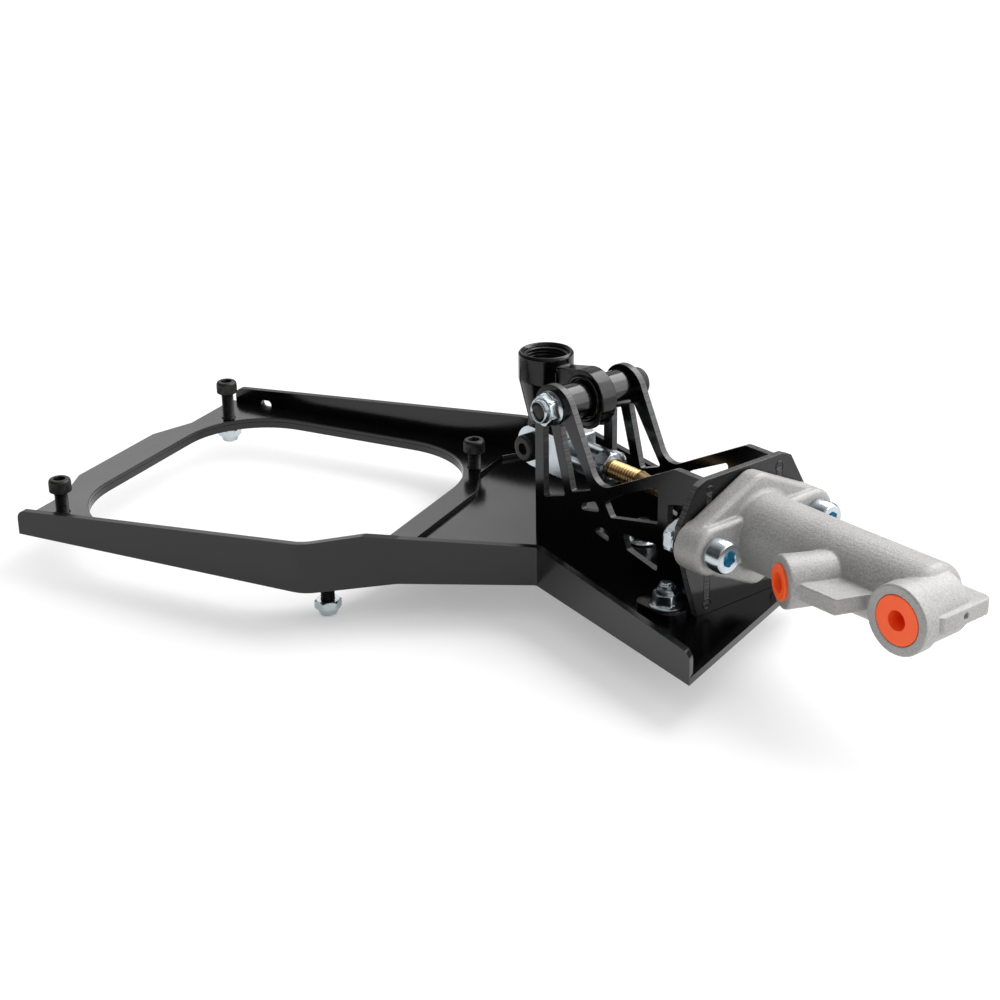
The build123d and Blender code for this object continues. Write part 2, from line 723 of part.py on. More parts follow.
# The casting itself: the lumps joined, then bored for piston, ports, passages and bolts
with BuildPart() as cylinder_body:
    for lump in (flange_plate, flange_bar, barrel, inlet_lump, outlet_lump, parting_web, end_lug):
        add(lump.part)
    add(turned([(-spigot_length, 0), (-spigot_length, spigot_diameter / 2), (1, spigot_diameter / 2),
                (1, 0)]))
    add(turned([(-spigot_length - 1, 0), (-spigot_length - 1, bore_diameter / 2),
                (bore_end, bore_diameter / 2), (bore_end, 0)]), mode=Mode.SUBTRACT)
    add(turned([(bore_end - 1, 0), (bore_end - 1, passage / 2), (outlet_x, passage / 2), (outlet_x, 0)]),
        mode=Mode.SUBTRACT)
    with BuildSketch(outlet_plane):
        with Locations((outlet_x, axis_z)):
            Circle(outlet_cap_diameter / 2 + 0.2)
    extrude(amount=-cap_flange, mode=Mode.SUBTRACT)
    for diameter, depth in ((port_thread, port_depth + cap_flange), (passage, outlet_face)):
        with BuildSketch(outlet_plane):
            with Locations((outlet_x, axis_z)):
                Circle(diameter / 2)
        extrude(amount=-depth, mode=Mode.SUBTRACT)
    for diameter, depth in ((port_thread, port_depth), (0.6 * passage, inlet_boss_length)):
        with BuildSketch(inlet_plane):
            Circle(diameter / 2)
        extrude(amount=-depth, mode=Mode.SUBTRACT)
    with BuildSketch(tower_front(-1)):
        with Locations((-flange_bolts / 2, axis_z), (flange_bolts / 2, axis_z)):
            Circle(m8_hole / 2)
    extrude(amount=flange_thickness + 2, mode=Mode.SUBTRACT)
    with BuildSketch(tower_front(lug_end)):
        with Locations((0, axis_z)):
            Circle(0.2 * web_thickness)
    extrude(amount=-0.3 * web_thickness, mode=Mode.SUBTRACT)

# Mounting screws of the master cylinder and their nuts behind the front plate
flange_grip = flange_thickness + plate
with BuildPart(tower_front(flange_thickness)) as cylinder_bolts:
    for y in (-flange_bolts / 2, flange_bolts / 2):
        with Locations((y, axis_z, 0)):
            add(cap_screw(m8, m8_head, flange_grip + flange_nut_height + 2 * nut_overhang, m8_socket))

with BuildPart(tower_front(-plate)) as cylinder_nuts:
    for y in (-flange_bolts / 2, flange_bolts / 2):
        with Locations(Location((y, axis_z, 0), (180, 0, 0))):
            add(flange_nut(m8, m8_head, flange_bolts - tower_width - 2 * ear_gap))

# Inside the cylinder: piston with its two seals, return spring and retaining ring
seal_depth = 1.8
nose_radius = 3.0
nose_length = 7.0
pocket_radius = 5.3
piston_front = piston_rear + piston_length
bore_radius = bore_diameter / 2
piston_radius = bore_radius - fit
pocket_floor = ball_centre + ball_radius + push_gap
rear_seal = (14.0, 18.0)
with BuildPart() as piston:
    add(turned([
        (pocket_floor, 0), (piston_front + nose_length, 0), (piston_front + nose_length, nose_radius),
        (piston_front, nose_radius), (piston_front, piston_radius), (rear_seal[1], piston_radius),
        (rear_seal[1], piston_radius - seal_depth), (rear_seal[0], piston_radius - seal_depth),
        (rear_seal[0], piston_radius), (piston_rear, piston_radius), (piston_rear, pocket_radius + 0.7),
        (piston_rear + 1, pocket_radius), (pocket_floor, pocket_radius)]))

with BuildPart() as secondary_seal:
    add(turned([
        (rear_seal[0] + 0.2, piston_radius - seal_depth), (rear_seal[0] + 0.2, piston_radius),
        (rear_seal[1] - 0.2, piston_radius), (rear_seal[1] - 0.2, piston_radius - seal_depth)]))

with BuildPart() as primary_seal:
    add(turned([
        (piston_front, nose_radius), (piston_front, piston_radius), (piston_front + 5, piston_radius),
        (piston_front + 5, piston_radius - 1.2), (piston_front + 2, piston_radius - 2.4),
        (piston_front + 2, nose_radius)]))

spring_wire = 1.6
spring_radius = 5.2
spring_turns = 6
spring_start = piston_front + 2.0 + spring_wire / 2 + 0.2
spring_length = bore_end - spring_start - spring_wire / 2 - 0.2
with BuildPart() as return_spring:
    with BuildLine() as coil:
        Helix(spring_length / spring_turns, spring_length, spring_radius,
              center=tower_axis(spring_start, 0, axis_z, forward).position, direction=forward)
    with BuildSketch(coil.line ^ 0):
        Circle(spring_wire / 2)
    sweep(is_frenet=True)

with BuildPart() as retaining_ring:
    add(turned([(-3.6, 6.5), (-3.6, bore_radius), (-2.4, bore_radius), (-2.4, 6.5)]))

# Rubber boot over the spigot, closing on the push rod
boot_wall = 1.6
boot_end = -27.0
with BuildPart() as rubber_boot:
    add(turned([
        (-plate - 0.3, spigot_diameter / 2), (-plate - 0.3, spigot_diameter / 2 + boot_wall),
        (-11.0, spigot_diameter / 2 + boot_wall), (-17.0, 11.5), (-21.5, 8.2), (boot_end, 6.0),
        (boot_end, 3.8), (-21.0, 5.4), (-16.0, 9.4), (-spigot_length - 2, spigot_diameter / 2 - 0.4),
        (-spigot_length, spigot_diameter / 2)]))


# Plastic plugs in the two ports
def port_cap(diameter):
    """Round plug on z = 0: flange on top, hollow stem down the thread."""
    stem_radius = port_thread / 2 - 2 * fit
    with BuildPart() as cap:
        Cylinder(diameter / 2, cap_flange, align=(Align.CENTER, Align.CENTER, Align.MIN))
        fillet(cap.edges().group_by(Axis.Z)[-1], 0.3 * cap_flange)
        Cylinder(stem_radius, cap_stem, align=(Align.CENTER, Align.CENTER, Align.MAX))
        with Locations((0, 0, -cap_stem + cap_flange)):
            Cylinder(0.8 * stem_radius, cap_stem + cap_flange, align=(Align.CENTER, Align.CENTER, Align.MIN),
                     mode=Mode.SUBTRACT)
    return cap.part


with BuildPart(tower_side(-outlet_face + cap_flange)) as outlet_cap:
    with Locations((outlet_x, axis_z, 0)):
        add(port_cap(outlet_cap_diameter))

with BuildPart(inlet_plane) as inlet_cap:
    add(port_cap(inlet_cap_diameter))

pieces = {
    "base_sheet": base_sheet, "ring_plate": ring_plate, "ring_bolts": ring_bolts, "ring_nuts": ring_nuts,
    "side_plate_near": side_plate_near, "side_plate_far": side_plate_far, "front_plate": front_plate,
    "tower_floor": tower_floor, "foot_bolts": foot_bolts, "foot_nuts": foot_nuts,
    "pivot_bolt": pivot_bolt, "pivot_nut": pivot_nut, "pivot_sleeve": pivot_sleeve,
    "pivot_spacers": pivot_spacers, "hub_bush": hub_bush, "lever_hub": lever_hub, "clevis": clevis,
    "clevis_pin": clevis_pin, "clevis_pin_nut": clevis_pin_nut, "lock_nut": lock_nut,
    "push_rod": push_rod, "cylinder_body": cylinder_body, "cylinder_bolts": cylinder_bolts,
    "cylinder_nuts": cylinder_nuts, "piston": piston, "secondary_seal": secondary_seal,
    "primary_seal": primary_seal, "return_spring": return_spring, "retaining_ring": retaining_ring,
    "rubber_boot": rubber_boot, "outlet_cap": outlet_cap, "inlet_cap": inlet_cap,
}
os.makedirs("parts", exist_ok=True)
for label, piece in pieces.items():
    piece.part.label = label
    export_step(piece.part, f"parts/{label}.step")
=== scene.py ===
import math

import bmesh
import bpy
import numpy as np
from mathutils import Matrix, Vector


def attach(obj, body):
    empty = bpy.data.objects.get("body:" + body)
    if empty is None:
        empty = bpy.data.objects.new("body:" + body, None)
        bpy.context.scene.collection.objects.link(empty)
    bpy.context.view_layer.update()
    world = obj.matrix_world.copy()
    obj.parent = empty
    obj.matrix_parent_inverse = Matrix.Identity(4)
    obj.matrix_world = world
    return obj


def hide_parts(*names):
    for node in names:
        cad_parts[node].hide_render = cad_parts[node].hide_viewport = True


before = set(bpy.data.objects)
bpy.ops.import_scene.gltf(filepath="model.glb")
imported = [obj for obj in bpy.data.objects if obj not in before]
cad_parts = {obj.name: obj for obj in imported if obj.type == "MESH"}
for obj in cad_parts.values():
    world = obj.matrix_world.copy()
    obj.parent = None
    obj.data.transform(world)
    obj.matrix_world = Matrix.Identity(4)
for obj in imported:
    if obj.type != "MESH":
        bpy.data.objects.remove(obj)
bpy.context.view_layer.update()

# Folded base sheet and the thinner ring plate that lies on it. Both are laser-cut steel, folded on
# a press and powder coated satin black; the coat gathers a little and rounds every cut edge.
COAT_DARK = (3, 3, 4)
COAT_LIGHT = (9, 9, 10)
COAT_INDEX = 1.5
COAT_ROUNDING = 0.3e-3
SHEET_CLOUD = 45
PEEL_GRAIN = 1500
PEEL_HEIGHT = 0.022e-3
SAME_PLACE = 1e-6
FLAT_ANGLE = math.radians(0.5)
CORNER_ANGLE = math.radians(30)


def tint(red, green, blue):
    """A colour given as it looks on a screen, 0 to 255, turned linear for a shader."""
    shares = [channel / 255 for channel in (red, green, blue)]
    linear = [s / 12.92 if s <= 0.04045 else ((s + 0.055) / 1.055) ** 2.4 for s in shares]
    return (*linear, 1)


class Value:
    """One shader socket, so that sums on sockets add their own Math nodes."""

    def __init__(self, mixer, socket):
        self.mixer = mixer
        self.socket = socket

    def maths(self, operation, *values):
        return self.mixer.node("Math", {"operation": operation}, dict(enumerate(values)))

    def __add__(self, other):
        return self.maths("ADD", self, other)

    def __sub__(self, other):
        return self.maths("SUBTRACT", self, other)

    def __rsub__(self, other):
        return self.maths("SUBTRACT", other, self)

    def __mul__(self, other):
        return self.maths("MULTIPLY", self, other)

    def __abs__(self):
        return self.maths("ABSOLUTE", self)

    def __gt__(self, other):
        return self.maths("GREATER_THAN", self, other)

    __radd__ = __add__
    __rmul__ = __mul__


class Mixer:
    """A node tree being mixed, and the one way that its nodes are added."""

    def __init__(self, tree):
        self.tree = tree

    def fill(self, node, inputs):
        for key, value in inputs.items():
            if isinstance(value, Value):
                self.tree.links.new(value.socket, node.inputs[key])
            else:
                node.inputs[key].default_value = value

    def node(self, kind, settings, inputs, output=0):
        made = self.tree.nodes.new("ShaderNode" + kind)
        for key, value in settings.items():
            setattr(made, key, value)
        self.fill(made, inputs)
        return Value(self, made.outputs[output])

    def measure(self, operation, first, second):
        """A number that a vector operation gives for two vectors."""
        return self.node("VectorMath", {"operation": operation}, {0: first, 1: second}, "Value")

    def along(self, vector, direction):
        return self.measure("DOT_PRODUCT", vector, direction)


class Finish(Mixer):
    """A material with its shader."""

    def __init__(self, name, **constants):
        self.material = bpy.data.materials.new(name)
        self.material.use_nodes = True
        super().__init__(self.material.node_tree)
        self.shader = self.tree.nodes["Principled BSDF"]
        self.place = self.node("TexCoord", {}, {}, "Object")
        self.paint(**constants)

    def noise(self, scale, detail, vector=None):
        inputs = {"Vector": vector or self.place, "Scale": scale, "Detail": detail}
        return self.node("TexNoise", {}, inputs)

    def mix(self, factor, first, second):
        return self.node("Mix", {"data_type": "RGBA"}, {0: factor, 6: first, 7: second}, 2)

    def bump(self, height, distance):
        return self.node("Bump", {}, {"Height": height, "Distance": distance})

    def paint(self, **inputs):
        self.fill(self.shader, {key.replace("_", " "): value for key, value in inputs.items()})
        return self.material


def sheet_coat():
    """Coat of a broad sheet, with the fine peel that the powder leaves as it melts."""
    coat = Finish("satin_powder_coat", IOR=COAT_INDEX)
    cloud = coat.noise(SHEET_CLOUD, detail=3)
    peel = coat.noise(PEEL_GRAIN, detail=2)
    return coat.paint(
        Base_Color=coat.mix(cloud, tint(*COAT_DARK), tint(*COAT_LIGHT)),
        Roughness=0.09 + 0.08 * cloud + 0.05 * peel,
        Normal=coat.bump(peel, PEEL_HEIGHT))


def soften(piece, width):
    """Rounds the real edges of a piece, its mesh as it was."""
    if "custom_normal" in piece.data.attributes:
        piece.data.attributes.remove(piece.data.attributes["custom_normal"])
    piece.data.shade_smooth()
    weld = piece.modifiers.new("joined_corners", "WELD")
    weld.merge_threshold = SAME_PLACE
    flat = piece.modifiers.new("whole_faces", "DECIMATE")
    flat.decimate_type = "DISSOLVE"
    flat.angle_limit = FLAT_ANGLE
    edge = piece.modifiers.new("rounded_edges", "BEVEL")
    edge.width = width
    edge.segments = 2
    edge.angle_limit = CORNER_ANGLE
    even = piece.modifiers.new("even_light", "WEIGHTED_NORMAL")
    even.keep_sharp = True


def dress(nodes, material, width=0):
    """Gives CAD nodes their finish, and rounds their edges where a width is given."""
    for node in nodes:
        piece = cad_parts[node]
        piece.data.materials.clear()
        piece.data.materials.append(material)
        if width:
            soften(piece, width)


satin_coat = sheet_coat()
dress(["base_sheet", "ring_plate"], satin_coat, COAT_ROUNDING)

# Side plates, front plate and floor of the tower: the same coated steel, slotted together. The
# laser leaves fine lines across its cut edges, which show through the coat. The cut edges are also
# painted a lighter grey along these lines, as a painted highlight.
TOWER_TURN = math.radians(-24)
FORWARD = Vector((math.cos(TOWER_TURN), math.sin(TOWER_TURN), 0))
SIDEWAYS = Vector((-math.sin(TOWER_TURN), math.cos(TOWER_TURN), 0))
UP = Vector((0, 0, 1))
PLATE_ROUNDING = 0.2e-3
PLATE_CLOUD = 60
# Lighter grey painted on the cut edges: a painted highlight.
CUT_HIGHLIGHT_GREY = (84, 84, 83)
CUT_GRAIN = 2400
CUT_HEIGHT = 0.09e-3


def plate_coat(name, through, across):
    """Coat of a plate whose thickness runs along one direction, with its cut lines along it and its
    cut edges painted a lighter grey as a highlight.
    """
    coat = Finish(name, IOR=COAT_INDEX)
    cloud = coat.noise(PLATE_CLOUD, detail=3)
    along_edge = {0: coat.along(coat.place, across), 1: coat.along(coat.place, UP)}
    edge_place = coat.node("CombineXYZ", {}, along_edge)
    lines = coat.noise(CUT_GRAIN, detail=2, vector=edge_place)
    normal = coat.node("NewGeometry", {}, {}, "Normal")
    broad_face = abs(coat.along(normal, through)) > 0.5
    cut = 1 - broad_face
    face = coat.mix(cloud, tint(*COAT_DARK), tint(*COAT_LIGHT))
    return coat.paint(
        # On the cut edges the colour streaks towards a lighter grey: a painted highlight over the
        # real laser lines.
        Base_Color=coat.mix(cut * (2.6 * lines - 0.8), face, tint(*CUT_HIGHLIGHT_GREY)),
        Roughness=0.11 + 0.06 * cloud + 0.2 * cut,
        Normal=coat.bump(lines * (0.04 + 0.96 * cut), CUT_HEIGHT))


side_coat = plate_coat("side_plate_coat", SIDEWAYS, FORWARD)
dress(["side_plate_near", "side_plate_far"], side_coat, PLATE_ROUNDING)
front_coat = plate_coat("front_plate_coat", FORWARD, SIDEWAYS)
dress(["front_plate"], front_coat, PLATE_ROUNDING)
dress(["tower_floor"], satin_coat, PLATE_ROUNDING)

# Round relief cuts of the front plate, one at each end of the tab slots. The coat fills them, so
# that only their rims stand out.
MM = 0.001
TOWER_FOOT = Vector((230.5, -15.8, 3.0)) * MM
SIDES = 96
ANGLES = np.arange(SIDES) * math.tau / SIDES
CREASE_ANGLE = math.radians(32)
RELIEF_RADIUS = 2.1
RELIEF_RIM = 0.34
RELIEF_SINK = 0.06
RELIEF_PLACES = [(side, height) for side in (-19.5, 19.5) for height in (4.6, 52.3)]


def turned(name, rows, joined=False):
    """A mesh turned about +Z from rows of height and radius in millimetres, closed or joined.

    A joined one runs on from its last row to its first. A radius may differ all the way round."""
    points = np.empty((len(rows), SIDES, 3))
    for row, (height, radius) in enumerate(rows):
        points[row, :, 0] = radius * np.cos(ANGLES)
        points[row, :, 1] = radius * np.sin(ANGLES)
        points[row, :, 2] = height
    total = len(rows) * SIDES
    faces = []
    for row in range(len(rows) if joined else len(rows) - 1):
        low = row * SIDES
        high = (low + SIDES) % total
        for side in range(SIDES):
            onward = (side + 1) % SIDES
            faces.append((low + side, low + onward, high + onward, high + side))
    if not joined:
        faces += [tuple(range(SIDES))[::-1], tuple(range(total - SIDES, total))]
    mesh = bpy.data.meshes.new(name)
    mesh.from_pydata((points.reshape(-1, 3) * MM).tolist(), [], faces)
    mesh.shade_smooth()
    mesh.set_sharp_from_angle(angle=CREASE_ANGLE)
    return mesh


def oval_rows(radius, wide, high, steps):
    """Rows of a ring whose section is an oval, with its half width and half height."""
    turns = np.linspace(0, math.tau, steps, endpoint=False)
    return [(high * math.sin(turn), radius + wide * math.cos(turn)) for turn in turns]


def facing(out, place):
    """The placing of a turned form whose own +Z points out from a place in metres."""
    aside = UP if abs(out.z) < 0.5 else Vector((1, 0, 0))
    across = aside.cross(out).normalized()
    turn = Matrix((across, out.cross(across), out)).transposed()
    return Matrix.Translation(place) @ turn.to_4x4()


def on_tower(x, y, z):
    """A place given in millimetres forward, sideways and up from the tower's foot."""
    return TOWER_FOOT + (FORWARD * x + SIDEWAYS * y + UP * z) * MM


def stand(name, data):
    """An object of the scene that holds a mesh, a curve, a camera or a lamp."""
    thing = bpy.data.objects.new(name, data)
    bpy.context.scene.collection.objects.link(thing)
    return thing


def settle(name, mesh, body, nodes=()):
    """A mesh made a piece that rides on a body, in place of CAD nodes if they are given."""
    piece = stand(name, mesh)
    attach(piece, body)
    if nodes:
        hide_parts(*nodes)
    return piece


def fit(name, mesh, matrices, materials, body, nodes=()):
    """One piece of equal meshes at several places."""
    work = bmesh.new()
    for matrix in matrices:
        copy = mesh.copy()
        copy.transform(matrix)
        work.from_mesh(copy)
        bpy.data.meshes.remove(copy)
    whole = bpy.data.meshes.new(name)
    work.to_mesh(whole)
    work.free()
    for material in materials:
        whole.materials.append(material)
    settle(name, whole, body, nodes)


relief_rim = turned("relief_rim", oval_rows(RELIEF_RADIUS, RELIEF_RIM, RELIEF_RIM, 8), True)
relief_placings = [facing(FORWARD, on_tower(-RELIEF_SINK, y, z)) for y, z in RELIEF_PLACES]
fit("relief_rims", relief_rim, relief_placings, [front_coat], "frame")

# Long cap screws that stand loose in the ring, blackened steel: knurled head, hexagon socket and a
# rolled thread up to the head. The oil left in the oxide makes it patchy.
M6 = {"size": 6, "pitch": 1.0, "head": 10, "rise": 6, "socket": 5}
M8 = {"size": 8, "pitch": 1.25, "head": 13, "rise": 8, "socket": 6}
RING_SCREW_LENGTH = 26
THREAD_STEPS = 8
THREAD_DEPTH = 0.66
THREAD_CORE = 0.7
THREAD_CREST = 0.15
THREAD_FLANK = 1.3
TIP_EDGE = ((0, 0.4), (0.05, 0.25))
TIP_LENGTH = 0.4
HEAD_FOOT = ((0, 0.5), (0.3, 0.06))
HEAD_CROWN = ((0.22, 0.08), (0.13, 0.2), (0.05, 0.5), (0.01, 0.9), (0, 1.2))
KNURL_DEPTH = 0.02
KNURL_FOOT = 0.35
KNURL_TOP = 0.24
SOCKET_MOUTH = 0.54
SOCKET_MOUTH_DEPTH = 0.25
SOCKET_DEPTH = 0.5
SOCKET_ROWS = 4
SQUARE = (Vector((1, 0, 0)), Vector((0, 1, 0)), UP)
UPWARD = (SQUARE, 2, 1)


def clouded(name, grain, detail, dark, light, roughness, spread, lump=0, **constants):
    """A finish whose colour, roughness and height drift together from place to place."""
    finish = Finish(name, **constants)
    cloud = finish.noise(grain, detail)
    if lump:
        finish.paint(Normal=finish.bump(cloud, lump))
    return finish.paint(
        Base_Color=finish.mix(cloud, tint(*dark), tint(*light)),
        Roughness=roughness + spread * cloud)


def hexagon(across_flats):
    """The radius of a hexagon all the way round."""
    sixth = math.pi / 3
    return across_flats / 2 / np.cos((ANGLES + sixth / 2) % sixth - sixth / 2)


def thread(low, high, radius, pitch):
    """Rows of a rolled thread between two heights."""
    rows = []
    for height in np.arange(low, high, pitch / THREAD_STEPS):
        slope = abs(2 * ((height / pitch - ANGLES / math.tau) % 1) - 1)
        cut = np.clip(THREAD_FLANK * slope - THREAD_CREST, 0, 1)
        rows.append((height, radius - THREAD_DEPTH * pitch * cut))
    return rows


def cap_screw(length, threaded, size, pitch, head, rise, socket, rough=1):
    """Rows of a socket head cap screw, from its tip to its socket's floor; the head's top is at 0.

    Its edges are tables of how far along and how far in each row lies, the crown's first number a
    share of the head's rise. The head is knurled unless rough is 0."""
    tip = -length
    thread_end = tip + threaded
    core = size / 2 - THREAD_CORE * pitch
    rim = head / 2
    knurl = rim - KNURL_DEPTH * head * (np.arange(SIDES) % 2) * rough
    rows = [(tip + up, core - inset) for up, inset in TIP_EDGE]
    rows += thread(tip + TIP_LENGTH, min(thread_end, -rise - 0.3), size / 2, pitch)
    rows += [(max(thread_end, -rise - 0.2), size / 2), (-rise, size / 2 + 0.1)]
    rows += [(-rise + up, rim - inset) for up, inset in HEAD_FOOT]
    rows += [(-rise + KNURL_FOOT, knurl), (-KNURL_TOP * rise, knurl)]
    rows += [(-drop * rise, rim - inset) for drop, inset in HEAD_CROWN]
    rows += [(0, np.maximum(hexagon(socket), SOCKET_MOUTH * socket))]
    rows += [(-SOCKET_MOUTH_DEPTH, hexagon(socket)), (-SOCKET_DEPTH * rise, hexagon(socket)),
             (-SOCKET_DEPTH * rise - 0.1, 0.4 * socket), (-0.62 * rise, 0.4)]
    return rows


def solids(node, axes):
    """The lowest and highest reach of each solid of a CAD node along three axes, in metres."""
    shape = bmesh.new()
    shape.from_mesh(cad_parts[node].data)
    bmesh.ops.remove_doubles(shape, verts=shape.verts, dist=SAME_PLACE)
    left = dict.fromkeys(shape.verts)
    boxes = []
    while left:
        group = [left.popitem()[0]]
        for vertex in group:
            for edge in vertex.link_edges:
                other = edge.other_vert(vertex)
                if other in left:
                    del left[other]
                    group.append(other)
        reach = np.array([vertex.co for vertex in group]) @ np.array(axes).T
        boxes.append((tuple(reach.min(0)), tuple(reach.max(0))))
    shape.free()
    return sorted(boxes)


def ends(node, heading):
    """For each solid of a CAD node, the placing of a turned form that ends where the solid does.

    A heading is three axes, the one that the form lies along, and 1 or -1 for which way it looks."""
    axes, way, out = heading
    found = []
    for low, high in solids(node, axes):
        middle = [(a + b) / 2 for a, b in zip(low, high)]
        middle[way] = high[way] if out > 0 else low[way]
        place = sum((Vector(axis) * reach for axis, reach in zip(axes, middle)), Vector())
        found.append(facing(Vector(axes[way]) * out, place))
    return found


black_oxide = clouded(
    "black_oxide", grain=420, detail=4, dark=(30, 30, 31), light=(70, 69, 68),
    roughness=0.3, spread=0.2, lump=0.03e-3, Metallic=0.8)


def black_screws(name, rows, node, heading, body):
    """Blackened screws in place of a CAD node."""
    fit(name, turned(name, rows), ends(node, heading), [black_oxide], body, [node])


ring_screw = cap_screw(RING_SCREW_LENGTH, RING_SCREW_LENGTH, **M6)
black_screws("ring_screws", ring_screw, "ring_bolts", UPWARD, "frame")

# Locking nuts that hang on the ring's screws with their round collars down, and the bright zinc of
# every pale fastener, with its bluish passivation.
DOWNWARD = (SQUARE, 2, -1)
NUT_PLAY = 0.05
NUT_CORNER = 0.53
NUT_FOOT = 0.49
NUT_FOOT_EDGE = 0.35
NUT_FLATS_FROM = 0.6
CROWN_CORNER = 0.535
CROWN_SLOPE = 0.3
CROWN_DROP = 0.25
CROWN_EDGE = 0.1
COLLAR_OUTSIDE = ((2.2, 0), (0.9, 0.3), (0.3, 0.6), (0, 1.0))
COLLAR_INSIDE = ((0, 0.55), (0.3, 0.3), (0.8, 0))
COLLAR_RISE = COLLAR_OUTSIDE[0][0]
ZINC_CLOUD = 210
ZINC_SCRATCH = 2600
ZINC_SCRATCH_HEIGHT = 0.012e-3


def bright_zinc(name, dark, light, roughness):
    finish = Finish(name, Metallic=1.0)
    cloud = finish.noise(ZINC_CLOUD, detail=3)
    scratch = finish.noise(ZINC_SCRATCH, detail=2)
    return finish.paint(
        Base_Color=finish.mix(cloud, tint(*dark), tint(*light)),
        Roughness=roughness + 0.14 * cloud,
        Normal=finish.bump(scratch, ZINC_SCRATCH_HEIGHT))


def collar_rows(across_flats, high, bore):
    """The round locking collar on a nut's hexagon, over its top and down its bore."""
    foot = 0.44 * across_flats
    outside = [(high - drop, foot - inset) for drop, inset in COLLAR_OUTSIDE]
    return outside + [(high - drop, bore + inset) for drop, inset in COLLAR_INSIDE]


def nut_flats(across_flats, low, high):
    """A hexagon between two heights, its corners turned off at the top."""
    corner = across_flats / 2 / math.cos(math.pi / 6)
    flats = hexagon(across_flats)
    crown = high - CROWN_SLOPE * (corner - across_flats / 2) - CROWN_DROP
    turned_off = np.minimum(flats, CROWN_CORNER * across_flats)
    return [(low, flats), (crown, flats), (high - CROWN_EDGE, turned_off),
            (high, across_flats / 2 - CROWN_EDGE)]


def locking_nut(size, across_flats, height):
    """Rows of a locking nut, its foot turned off a little."""
    bore = size / 2 + NUT_PLAY
    broken = np.minimum(hexagon(across_flats), NUT_CORNER * across_flats)
    rows = [(0, bore), (0, NUT_FOOT * across_flats), (NUT_FOOT_EDGE, broken)]
    rows += nut_flats(across_flats, NUT_FLATS_FROM, height - COLLAR_RISE - 0.2)
    return rows + collar_rows(across_flats, height, bore)


def place_nuts(name, rows, node, heading, body, spin=0):
    """Zinc nuts in place of a CAD node, their tops where its solids end, spun by some degrees."""
    top = max(height for height, radius in rows)
    mesh = turned(name, [(height - top, radius) for height, radius in rows], True)
    mesh.transform(Matrix.Rotation(math.radians(spin), 4, "Z"))
    fit(name, mesh, ends(node, heading), [zinc], body, [node])


zinc = bright_zinc("bright_zinc", dark=(170, 182, 190), light=(220, 227, 230), roughness=0.16)
ring_nut = locking_nut(size=6, across_flats=10, height=6.4)
place_nuts("ring_lock_nuts", ring_nut, "ring_nuts", DOWNWARD, "frame", spin=20)

# Feet of the tower: three zinc screws from below the sheet, held by flange nuts on the tower's
# floor. The bath collects down in the screws' sockets and leaves them bluer.
FOOT_SCREW_LENGTH = 22
FLANGE_EDGE = ((0, 0.35), (0.2, 0.05), (0.7, 0), (1.0, 0.25))
FLANGE_LIP = 0.35
CONE_LIP = 0.3
CONE_FOOT = 1.0
CONE_RISE = 0.9
CONE_SHARES = (0.25, 0.5, 0.75, 1.0)


def zinc_screws(name, rows, node, heading):
    """Bright screws in place of a CAD node, with bluer sockets."""
    mesh = turned(name, rows)
    first = (len(rows) - SOCKET_ROWS) * SIDES
    last = (len(rows) - 1) * SIDES
    for face in (*mesh.polygons[first:last], mesh.polygons[-1]):
        face.material_index = 1
    fit(name, mesh, ends(node, heading), [zinc, blue_passivate], "frame", [node])


def flange_nut(size, across_flats, flange, height):
    """Rows of a locking nut with a cone flange at its foot."""
    bore = size / 2 + NUT_PLAY
    flats = hexagon(across_flats)
    rim = flange / 2
    rows = [(0, bore)] + [(rise, rim - inset) for rise, inset in FLANGE_EDGE]
    for share in CONE_SHARES:
        cone = rim - CONE_LIP + share * (across_flats / 2 - rim)
        radius = np.maximum(cone, np.minimum(flats, rim - FLANGE_LIP))
        rows.append((CONE_FOOT + CONE_RISE * share, radius))
    rows += nut_flats(across_flats, CONE_FOOT + CONE_RISE + 0.2, height - COLLAR_RISE)
    return rows + collar_rows(across_flats, height, bore)


blue_passivate = bright_zinc(
    "blue_passivate", dark=(110, 176, 200), light=(160, 212, 228), roughness=0.25)
foot_screw = cap_screw(FOOT_SCREW_LENGTH, FOOT_SCREW_LENGTH, **M6, rough=0)
zinc_screws("foot_screws", foot_screw, "foot_bolts", DOWNWARD)
foot_nut = flange_nut(size=6, across_flats=10, flange=14, height=8)
place_nuts("foot_flange_nuts", foot_nut, "foot_nuts", UPWARD, "frame", spin=8)

# Pivot: a long blackened screw through both side plates, a zinc flange nut on its near end, and
# two turned spacers in gloss black that keep the lever in the middle.
TOWER = (FORWARD, SIDEWAYS, UP)
NEARWARD = (TOWER, 1, -1)
FARWARD = (TOWER, 1, 1)
PIVOT_SCREW_LENGTH = 57.4
PIVOT_SCREW_THREADED = 16
SPACER_ROUNDING = 0.3e-3


def gloss_black(name, roughness, lump, index):
    return clouded(name, grain=240, detail=3, dark=(2, 2, 2), light=(9, 8, 8),
                   roughness=roughness, spread=0.1, lump=lump, IOR=index)


pivot_screw = cap_screw(PIVOT_SCREW_LENGTH, PIVOT_SCREW_THREADED, **M8)
black_screws("pivot_screw", pivot_screw, "pivot_bolt", FARWARD, "frame")
pivot_nut = flange_nut(size=8, across_flats=12, flange=15, height=8)
place_nuts("pivot_flange_nut", pivot_nut, "pivot_nut", NEARWARD, "frame", spin=14)
spacer_black = gloss_black("spacer_black", roughness=0.1, lump=0.02e-3, index=1.55)
dress(["pivot_spacers"], spacer_black, SPACER_ROUNDING)

# Between the spacers the lever turns on a plain steel sleeve, which the screw clamps, and in the
# hub is pressed a bronze bush.
STEEL_TINTS = ((120, 121, 122), (168, 169, 170))
BRONZE_TINTS = ((150, 108, 60), (196, 150, 92))


def plain_metal(name, dark, light):
    return clouded(name, grain=900, detail=2, dark=dark, light=light,
                   roughness=0.22, spread=0.15, Metallic=1.0)


